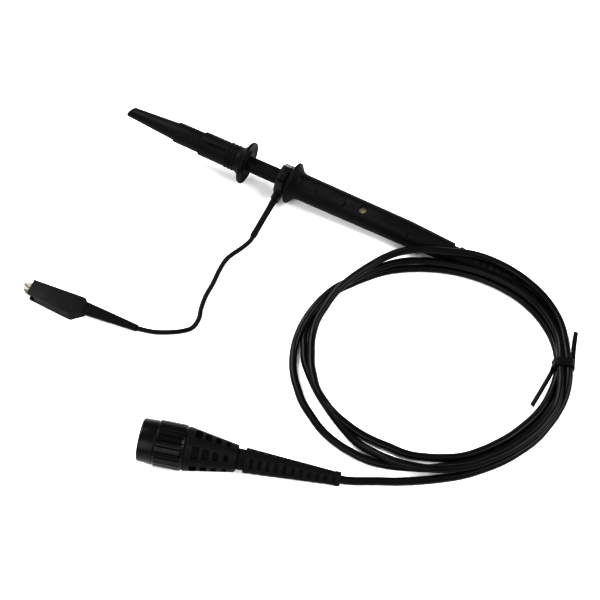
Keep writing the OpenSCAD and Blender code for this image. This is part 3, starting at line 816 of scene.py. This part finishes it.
def make_sleeve():
    """Sliding sleeve with three ribs, a slot whose thin black floor is painted shade, and the finger flange."""
    r, f = SLEEVE_R, FLANGE_R
    ribs = []
    for k in range(SLEEVE_RIBS):
        s = S_RIBS + RIB_PITCH * k
        ribs += [(s - 0.1, r), (s + 0.15, r + 0.28), (s + 0.7, r + 0.28), (s + 0.95, r)]
    bowl = flange_bowl()
    spring_end, spring_start = S_FLANGE - 6.7, S_STEP2 + 1.3
    outer = [(S_STEP2, CORE_BORE_R), (S_STEP2, r), *ribs, *bowl, (S_FLANGE - 1.5, f), (S_FLANGE - 0.1, f),
             (S_FLANGE - 0.5, f - 1.2), (S_FLANGE - 1.1, 5.2), (S_FLANGE, 4.9), (S_FLANGE, SLIDE_BORE_R)]
    inner = [(spring_end, SLIDE_BORE_R), (spring_end, SPRING_ROOM_R), (spring_start, SPRING_ROOM_R),
             (spring_start, CORE_BORE_R)]
    radii = [0.05, 0.28] + [0.07] * len(ribs) + [0.3] * len(bowl)
    radii += [0.5, 0.45, 0.4, 0.3, 0.15, 0.1] + [0.05] * len(inner)
    sleeve = turned("finger_sleeve", loop_softened(outer + inner, radii, 4))
    slot = prism("slot", loop_softened(rectangle(*SLEEVE_SLOT), 0.3, 4), SLEEVE_SLOT_SHADE_FLOOR, 7)
    combined(sleeve, spun(slot, SLEEVE_SLOT_TURN))
    edged(sleeve, 0.06, 2)
    return place(sleeve, HEAD, "hook_sleeve_body", "black_plastic", "hook_sleeve")


def coil_spring(name, start, end, coil_r, wire_r, turns):
    """Helix of wire about x, with its end turns closed up."""
    steps = turns * 24
    path = []
    for i in range(steps + 1):
        t = i / steps
        lead = t - math.sin(TURN * t) / TURN * 0.35
        a = TURN * turns * t
        path.append((start + (end - start) * lead, coil_r * math.cos(a), coil_r * math.sin(a)))
    return swept(name, path, circle(wire_r, 10))


def make_hook_spring():
    """Spring between the sleeve and the core's rim."""
    rim = 45.9
    spring = coil_spring("return_spring", S_STEP2 + 1.8, rim - 0.3, coil_r=3.5, wire_r=0.27, turns=7)
    place(spring, HEAD, "hook_core_body", "spring_steel", "hook_spring")
    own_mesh(spring)


# ---------------------------------------------------------------- shaft and ground ring

def make_shaft():
    """Bare insulated shaft, with the thin spigot that the hook tip pushes on to."""
    spigot, spigot_r, shoulder, end = 36.55, 2.07, 50.05, S_GUARD + 4.9
    profile = [(spigot, 0), (spigot, spigot_r), (shoulder, spigot_r), (shoulder, SHAFT_R), (end, SHAFT_R),
               (end, 0)]
    shaft = turned("insulated_shaft", soften(profile, 0.2, 3))
    return place(shaft, HEAD, "probe", "black_plastic", "nose_insulator")


RING_FLAT = 5.9
RING_W = 3.4
RING_BORE_R = 3.82
LUG_PLACE = Matrix.Translation((S_RING, -5.2, -4.05)) @ turn_by(-92, "Z") @ turn_by(9.8, "Y")
LUG_HALF = 1.5
LUG_HOLE_R = 1.02
SLEEVE_LEN = 21.4


def ring_outline():
    """Six sides, each with a nick in its middle, and notched corners."""
    half_side = RING_FLAT * math.tan(TURN / 12)
    side = [(RING_FLAT, -half_side + 0.5), (RING_FLAT, -0.28), (RING_FLAT - 0.22, 0), (RING_FLAT, 0.28),
            (RING_FLAT, half_side - 0.5), (RING_FLAT - 0.75, half_side - 0.55)]
    outline = []
    for k in range(6):
        turn = Matrix.Rotation(TURN * k / 6 + math.radians(45), 2)
        outline += [tuple(turn @ Vector(p)) for p in side]
    return outline


def make_ring():
    """Clamp ring with a lug for the lead."""
    ring = prism("ground_ring_shell", ring_outline(), S_RING - RING_W / 2, S_RING + RING_W / 2, "x")
    foot = rectangle((-LUG_HALF, -LUG_HALF), (3.3, LUG_HALF))
    lug = prism("lug", loop_softened(foot, 0.4, 4), -1.7, 1.7)
    lug.data.transform(LUG_PLACE)
    combined(ring, lug, "UNION")
    start, end = S_RING - 11, S_RING + 9
    combined(ring, turned("bore", [(start, 0), (start, RING_BORE_R), (end, RING_BORE_R), (end, 0)]))
    hole = turned("hole", [(0.5, 0), (0.5, LUG_HOLE_R), (9, LUG_HOLE_R), (9, 0)], 48)
    hole.data.transform(LUG_PLACE)
    combined(ring, hole)
    edged(ring, 0.14, 3, 35)
    return place(ring, HEAD, "ground_ring_body", "ring_plastic", "ground_ring", "ring_contact")


def make_lead_sleeve():
    """Strain relief of the ground lead, plugged into the ring's lug."""
    lip = SLEEVE_LEN - 2.2
    profile = [(1, 0), (1, 0.98), (3.38, 0.98), (3.38, 1.3), (5.2, 1.3), (5.2, 1.24), (lip, 1.2), (lip, 1.27),
               (SLEEVE_LEN, 1.2), (SLEEVE_LEN, LEAD_R), (SLEEVE_LEN - 3, LEAD_R), (SLEEVE_LEN - 3, 0)]
    sleeve = turned("lead_strain_relief", soften(profile, 0.12, 3), 48)
    return place(sleeve, HEAD @ LUG_PLACE, "ground_ring_body", "boot_rubber", "ground_lead_sleeve")


LEAD_ROUTE = [[-17.6, -32.3, 1], [-20.7, -39.5, 0.95], [-21, -46, 0.95], [-20.4, -52.5, 0.95],
              [-20.2, -59, 0.95], [-19.2, -64.5, 0.95], [-17.8, -69, 0.95], [-18.2, -73.6, 0.95],
              [-21.6, -77, 0.95], [-26.8, -80, 0.95], [-31.6, -82, 1.1]]


def make_lead():
    """Ground lead from its strain relief to the clip."""
    start = HEAD @ LUG_PLACE @ Vector((SLEEVE_LEN, 0, 0)) / MM
    straight = HEAD @ LUG_PLACE @ Vector((SLEEVE_LEN + 2, 0, 0)) / MM
    end = CLIP @ Vector(CLIP_TAIL_END) / MM
    path = smoothed([start, straight, *LEAD_ROUTE, end], 10)
    lead = swept("ground_wire", path, circle(LEAD_R, 16))
    lead.data.transform(TABLE)
    lead.data.materials.append(LOOKS["lead_pvc"])
    shaded(lead)
    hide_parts("ground_lead")
    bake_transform(lead)
    return lead, [p * MM for p in path]


# ---------------------------------------------------------------- the barrel

GUARD_R = 8.75
BARREL_R = 5.5
BARREL_END_R = 5.15
TRIMMER_HOLE_R = 1.75
POCKET = (12.9, 5.3)
PAD = (12.56, 4.96)
LATCH = (2.6, 0.6)


def make_grip():
    """Barrel with the finger guard, the trimmer's hole and the pocket of the pad."""
    g, r, plug_end = GUARD_R, BARREL_R, S_SEAM - 0.02
    outer = [(S_GUARD, SHAFT_BORE_R), (S_GUARD, 5.2), (S_GUARD + 0.9, g - 1.3), (S_WIDE, g),
             (S_WIDE + 0.8, g), (S_WIDE + 1.4, g - 0.7), (S_WIDE + 2.2, r + 1.4), (S_WIDE + 3.4, r + 0.3),
             (S_WIDE + 4.8, r), (plug_end, BARREL_END_R), (plug_end, BARREL_BORE_R)]
    inner = [(S_GUARD + 6, BARREL_BORE_R), (S_GUARD + 6, SHAFT_BORE_R)]
    radii = [0.1, 0.3, 0.8, 0.6, 0.5, 0.4, 0.6, 0.8, 0.8, 0.3, 0.05, 0.05, 0.05]
    grip = turned("grip_barrel", loop_softened(outer + inner, radii, 4), 128)
    combined(grip, cylinder("hole", TRIMMER_HOLE_R, 3, 9, TRIMMER_TURN, S_TRIMMER))
    combined(grip, cylinder("spot", TRIMMER_HOLE_R + 0.45, 5.15, 9, TRIMMER_TURN, S_TRIMMER))
    combined(grip, spun(prism("pocket", obround(*POCKET), 4.9, 8), PAD_TURN, S_PAD))
    combined(grip, spun(prism("latch", obround(*LATCH, 6), 5.2, 7), -7, S_LATCH))
    combined(grip, cylinder("gate", 0.45, 5.0, 7, 34, S_GATE, 24))
    edged(grip, 0.08, 2)
    return place(grip, HEAD, "probe", "black_plastic", "grip_shell")


def make_pad():
    """Blank plate in the barrel's pocket, crowned like the barrel."""
    start, end = S_PAD - 9, S_PAD + 9
    crown = turned("crown", soften([(start, 0), (start, 5.8), (end, 5.78), (end, 0)], 0.1), 256)
    pad = spun(prism("rating_plate", obround(*PAD, 16), 4.95, 8), PAD_TURN, S_PAD)
    combined(pad, crown, "INTERSECT")
    edged(pad, 0.2, 3)
    return place(pad, HEAD, "probe", "pad_plastic", "rating_pad")


# ---------------------------------------------------------------- the tail

def make_tail():
    """Tapered tail with the plug that holds it in the barrel."""
    plug_start, shoulder = S_SEAM - 4, S_SEAM + 0.02
    profile = [(plug_start, 0), (plug_start, TAIL_PLUG_R), (shoulder, TAIL_PLUG_R), (shoulder, 5.12),
               (S_TAIL, 4.1), (S_TAIL, 0)]
    tail = turned("tail_cover", soften(profile, [0, 0.3, 0.05, 0.3, 0.3, 0], 5))
    return place(tail, HEAD, "probe", "black_plastic", "tail_cone")


def boot_cuts(first, pitch, count, gap, half_width, floor, narrower, lower, turn=0):
    """Rows of slots on four sides of a strain relief, which get shorter towards its end."""
    cuts = []
    for k in range(count):
        start = first + pitch * k
        w = half_width - narrower * k
        z = floor - lower * k
        outline = loop_softened(rectangle((start, -w), (start + gap, w)), 0.3, 3)
        for side in range(4):
            cuts.append(spun(prism("slot", outline, z, z + 4), 90 * side + turn))
    return joined(cuts)


def make_head_boot():
    """Slotted strain relief between the tail and the cable."""
    neck_end, lip, end, bore_start = S_TAIL + 0.03, HEAD_LEN - 1.8, HEAD_LEN - 0.1, HEAD_LEN - 5
    profile = [(S_SEAM + 6, 0), (S_SEAM + 6, BOOT_PLUG_R), (neck_end, BOOT_PLUG_R), (neck_end, 3.2),
               (S_BOOT, 3.2), (S_BOOT, 3.85), (S_BOOT + 4, 3.5), (S_BOOT + 10, 3.05), (lip, 2.2),
               (lip + 0.2, 2.35), (end, 2.3), (end, CABLE_BORE_R), (bore_start, CABLE_BORE_R),
               (bore_start, 0)]
    radii = [0, 0.1, 0.05, 0.05, 0.1, 0.35, 1, 2, 0.2, 0.15, 0.3, 0.12, 0.1, 0]
    boot = turned("cable_strain_relief", soften(profile, radii, 4))
    combined(boot, boot_cuts(S_BOOT + 3, pitch=3, count=6, gap=1.2, half_width=1.7, floor=2.85,
                             narrower=0.12, lower=0.2))
    edged(boot, 0.08, 2)
    return place(boot, HEAD, "probe", "boot_rubber", "cable_boot")


# ---------------------------------------------------------------- the ground clip

CLIP_LEN = 22.4
CLIP_H = 5.6
CLIP_TAIL_LEN = 22.3
CLIP_TAIL_SLOPE = math.radians(3.4)
CLIP_TAIL_START = (CLIP_LEN + 0.7, 0.28, 2.72)
CLIP_TAIL_END = (CLIP_TAIL_START[0] + CLIP_TAIL_LEN * math.cos(CLIP_TAIL_SLOPE), CLIP_TAIL_START[1],
                 CLIP_TAIL_START[2] - CLIP_TAIL_LEN * math.sin(CLIP_TAIL_SLOPE))
CLIP_WALL = 0.75
CLIP_OUTLINE = [(0, 3.15), (CLIP_LEN, 3.15), (23.6, 2), (23.6, -1.6), (19.1, -5.45), (0, -3.15)]
CLIP_HOLLOW = [(-1, 2.4), (22, 2.4), (22.8, 1.7), (22.8, -1.3), (18.9, -4.6), (0, -2.35), (-1, -2.3)]
CLIP_TAIL_BORE_R = 0.92

# the jaws lie on their sides: they are drawn in x, y and have their width along z
JAW_Z0 = 1.0
JAW_H = CLIP_H - 2
JAW_Z1 = JAW_Z0 + JAW_H
JAW_TIP = -3.3
JAW_CLEARANCE = 0.05
JAW_GAP = 0.12
TOOTH_HEIGHT = 0.34
TOOTH_PITCH = 3.1
EAR_W = 0.8
EAR_R = 1.4
LEVER_INSET = 0.9


def make_clip_cover():
    """Vinyl cover: a flat-topped box open at the front, and a tapering tail round the lead."""
    cover = prism("clip_cover", loop_softened(CLIP_OUTLINE, [0.25, 1, 0.6, 0.8, 0.6, 0.25], 4), 0, CLIP_H)
    end, bore_start = CLIP_TAIL_LEN - 0.1, CLIP_TAIL_LEN - 4
    taper = [(-2.5, 0), (-2.5, 2.5), (0, 2.6), (end, 1.3), (end, CLIP_TAIL_BORE_R),
             (bore_start, CLIP_TAIL_BORE_R), (bore_start, 0)]
    tail = turned("tail", soften(taper, [0, 0.3, 2, 0.25, 0.1, 0.05, 0], 4), 64)
    tail.data.transform(Matrix.Translation(CLIP_TAIL_START) @ Matrix.Rotation(CLIP_TAIL_SLOPE, 4, "Y"))
    combined(cover, tail, "UNION")
    combined(cover, prism("hollow", CLIP_HOLLOW, CLIP_WALL, CLIP_H - CLIP_WALL))
    combined(cover, block("mouth", (-1, -5, JAW_Z0 - JAW_CLEARANCE), (2.8, -1.5, JAW_Z1 + JAW_CLEARANCE)))
    edged(cover, 0.22, 3, 28)
    return place(cover, CLIP, "probe", "clip_vinyl", "clip_boot")


def seam(gap):
    """Wavy line where the jaws meet, from the tip backwards."""
    steps = [TOOTH_PITCH / 10 * k for k in range(13)]
    return [(JAW_TIP + x, gap + TOOTH_HEIGHT * math.sin(TURN * x / TOOTH_PITCH)) for x in steps]


def at_pivot(name, radius, sides, low, high):
    """Round bar through the clip's pivot."""
    return prism(name, circle(radius, sides, (CLIP_PIVOT, 0)), low, high)


def pivot_ear():
    """Outline of one of the fixed jaw's ears, which hold the pin."""
    angles = [-math.pi / 2 + math.pi * k / 16 for k in range(17)]
    ear = [(CLIP_PIVOT + EAR_R * math.sin(a), -EAR_R * math.cos(a)) for a in angles]
    return ear + [(CLIP_PIVOT + EAR_R, 1.6), (CLIP_PIVOT - EAR_R, 1.6)]


def make_fixed_jaw():
    """Upper jaw, fast in the cover, with two ears round the pin."""
    top = [(4, 1.2), (12, 1.5), (22, 1.5), (22, 2.1), (14, 2.1), (0, 2.05), (JAW_TIP + 0.5, 1.55),
           (JAW_TIP, 1.05)]
    jaw = prism("fixed_jaw", seam(JAW_GAP) + [(1.2, 0.1), (4, 0.1)] + top, JAW_Z0, JAW_Z1)
    ears = [prism("ear", pivot_ear(), z, z + EAR_W) for z in (JAW_Z0, JAW_Z1 - EAR_W)]
    combined(jaw, joined(ears), "UNION")
    combined(jaw, at_pivot("bore", 0.62, 32, 0, CLIP_H))
    return place(jaw, CLIP, "probe", "nickel", "clip_fixed_jaw")


def make_moving_jaw():
    """Lower jaw with its lever, which turns on the pin between the ears."""
    lower = [(3.6, -0.1), (3.6, -1.4), (0, -1.95), (JAW_TIP + 0.5, -1.5), (JAW_TIP, -1.0)]
    jaw = prism("moving_jaw", seam(-JAW_GAP) + [(1.2, -0.12)] + lower, JAW_Z0, JAW_Z1)
    tongue = [(3, -0.1), (3, -1.4), (6.5, -1.4), (18.2, -4.1), (18.2, -3.3), (8, -0.6), (6, 0)]
    lever_z = (JAW_Z0 + LEVER_INSET, JAW_Z1 - LEVER_INSET)
    combined(jaw, prism("lever", tongue, *lever_z), "UNION")
    combined(jaw, at_pivot("eye", 1.1, 40, *lever_z), "UNION")
    combined(jaw, at_pivot("bore", 0.66, 32, 0, CLIP_H))
    edged(jaw, 0.14, 3, 30)
    return place(jaw, CLIP, "clip_jaw", "nickel", "clip_moving_jaw")


def make_clip_spring():
    """Spring between the jaws' tails."""
    station, foot, middle = 13, 1.4, CLIP_H / 2
    spring = coil_spring("jaw_spring", 0.1, 2.9, coil_r=0.52, wire_r=0.14, turns=3)
    spring.data.transform(Matrix.Translation((station, foot, middle)) @ turn_by(-90, "Z"))
    place(spring, CLIP, "probe", "spring_steel", "clip_spring")
    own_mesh(spring)
    return spring


# ---------------------------------------------------------------- the BNC plug

def ribbed(s, radius, angle):
    """The collar's radius at a station and an angle: grooves between ribs, cut down to one depth."""
    wave = abs(math.sin(KNURL_RIBS * angle / 2))
    groove = max(0.0, 1 - wave / 0.42)
    fade = min(1.0, max(0.0, (s - KNURL_START) / 0.8))
    return min(radius, COLLAR_R - 0.38 * fade * groove * groove * (3 - 2 * groove))


def make_collar():
    """Knurled insulating collar, which turns with the bayonet sleeve inside it."""
    r, skirt_end, skirt_floor = COLLAR_R, P_HOUSING - 0.06, COLLAR_LEN - 0.04
    front = [(0, COLLAR_MOUTH_R), (0, r - 0.95), (0.5, r - 0.5), (5.6, r - 0.38), (5.75, r - 0.55),
             (6.1, r - 0.55)]
    knurl = [(KNURL_START + 0.45 * k, r) for k in range(21)]
    back = [(skirt_end - 0.5, r - 0.25), (skirt_end, r - 0.65), (skirt_end, SKIRT_BORE_R),
            (skirt_floor, SKIRT_BORE_R), (skirt_floor, COLLAR_BORE_R)]
    inner = [(MOUTH_DEPTH, COLLAR_BORE_R), (MOUTH_DEPTH, COLLAR_MOUTH_R)]
    radii = [0.2, 0.35, 0.3, 0.1, 0.06, 0.06, 0.2] + [0.05] * 20 + [0.4, 0.2, 0.1, 0.05, 0.1, 0.1, 0.05]
    profile = loop_softened(front + knurl + back + inner, radii, 3)
    collar = turned("bnc_collar_cover", profile, KNURL_RIBS * 16, ribbed)
    return place(collar, PLUG, "bnc_collar", "collar_plastic", "bnc_shell")


HOUSING_BORE_R = 2.0
HOUSING_SLOPE = 9.5
WINDOW_SIDES = 6
WINDOWS = 4


def housing_windows():
    """Cutters for the rows of recesses round the tapered housing, smaller towards its neck."""
    windows = []
    for side in range(WINDOW_SIDES):
        turn = Matrix.Rotation(TURN * (side + 0.5) / WINDOW_SIDES, 4, "X")
        for k in range(WINDOWS):
            half = 2.2 - 0.35 * k
            outline = loop_softened(rectangle((0, -half), (2.6 - 0.3 * k, half)), 0.35, 3)
            window = prism("window", outline, -1.5, 2.5)
            at = Matrix.Translation((P_HOUSING + 2.6 + 3.8 * k, 0, 7.25 - 0.63 * k))
            window.data.transform(turn @ at @ turn_by(HOUSING_SLOPE, "Y"))
            windows.append(window)
    return joined(windows)


def make_housing():
    """Tapered body of the plug, with rows of shallow recesses."""
    floor = COLLAR_LEN + 12.1
    profile = [(P_HOUSING, 4.07), (P_HOUSING, 7.75), (P_HOUSING + 0.4, 8.0), (P_NECK - 0.4, 4.95),
               (P_NECK, 4.6), (P_NECK, HOUSING_BORE_R), (floor, HOUSING_BORE_R), (floor, 4.07)]
    housing = turned("bnc_housing_cover", loop_softened(profile, [0.1, 0.1, 0.3, 0.3, 0.2, 0.1, 0.1, 0.1], 4))
    combined(housing, housing_windows())
    edged(housing, 0.12, 2)
    return place(housing, PLUG, "probe", "black_plastic", "bnc_housing")


def make_plug_boot():
    """Slotted strain relief between the plug and the cable."""
    plug_start, neck_end, lip = P_NECK - 2.8, P_NECK + 0.02, PLUG_LEN - 2.2
    end, bore_start = PLUG_LEN - 0.1, PLUG_LEN - 6
    profile = [(plug_start, 0), (plug_start, BOOT_PLUG_R), (neck_end, BOOT_PLUG_R), (neck_end, 3.8),
               (P_BOOT, 3.8), (P_BOOT, 4.6), (lip, 2.5), (lip + 0.2, 2.7), (end, 2.6),
               (end, CABLE_BORE_R), (bore_start, CABLE_BORE_R), (bore_start, 0)]
    radii = [0, 0.1, 0.05, 0.15, 0.15, 0.4, 0.2, 0.15, 0.35, 0.12, 0.1, 0]
    boot = turned("bnc_strain_relief", soften(profile, radii, 4))
    combined(boot, boot_cuts(P_BOOT + 2, pitch=3, count=11, gap=1.4, half_width=1.75, floor=3.05,
                             narrower=0.07, lower=0.125, turn=35))
    edged(boot, 0.1, 2)
    return place(boot, PLUG, "probe", "boot_rubber", "bnc_cable_boot")


# ---------------------------------------------------------------- assembly

PLUG_INSIDES = ("bnc_lock_sleeve", "bnc_lock_washer", "bnc_body", "bnc_insulator", "bnc_centre_pin",
                "bnc_gasket")


def dress_cad_nodes():
    """CAD nodes that stay get the material of their own slot."""
    for name, node in frame["nodes"].items():
        if not node.hide_render:
            node.data.materials.clear()
            node.data.materials.append(LOOKS[SLOT_OF[name]])


def length_of(points):
    """Length along a line of points, in their own units."""
    return sum((Vector(b) - Vector(a)).length for a, b in zip(points, points[1:]))


set_camera()
set_floor()
set_light()
cable = make_cable()
lead, lead_path = make_lead()
tie = make_tie()
make_nose()
make_sleeve()
make_hook_spring()
make_shaft()
make_ring()
make_lead_sleeve()
make_grip()
make_pad()
make_tail()
make_head_boot()
clip_pieces = [make_clip_cover(), make_fixed_jaw(), make_moving_jaw(), make_clip_spring(),
               frame["nodes"]["clip_pin"]]
plug_pieces = [make_collar(), make_housing(), make_plug_boot()]
plug_pieces += [frame["nodes"][name] for name in PLUG_INSIDES]
dress_cad_nodes()

round(length_of(cable_route()) * MM, 3)
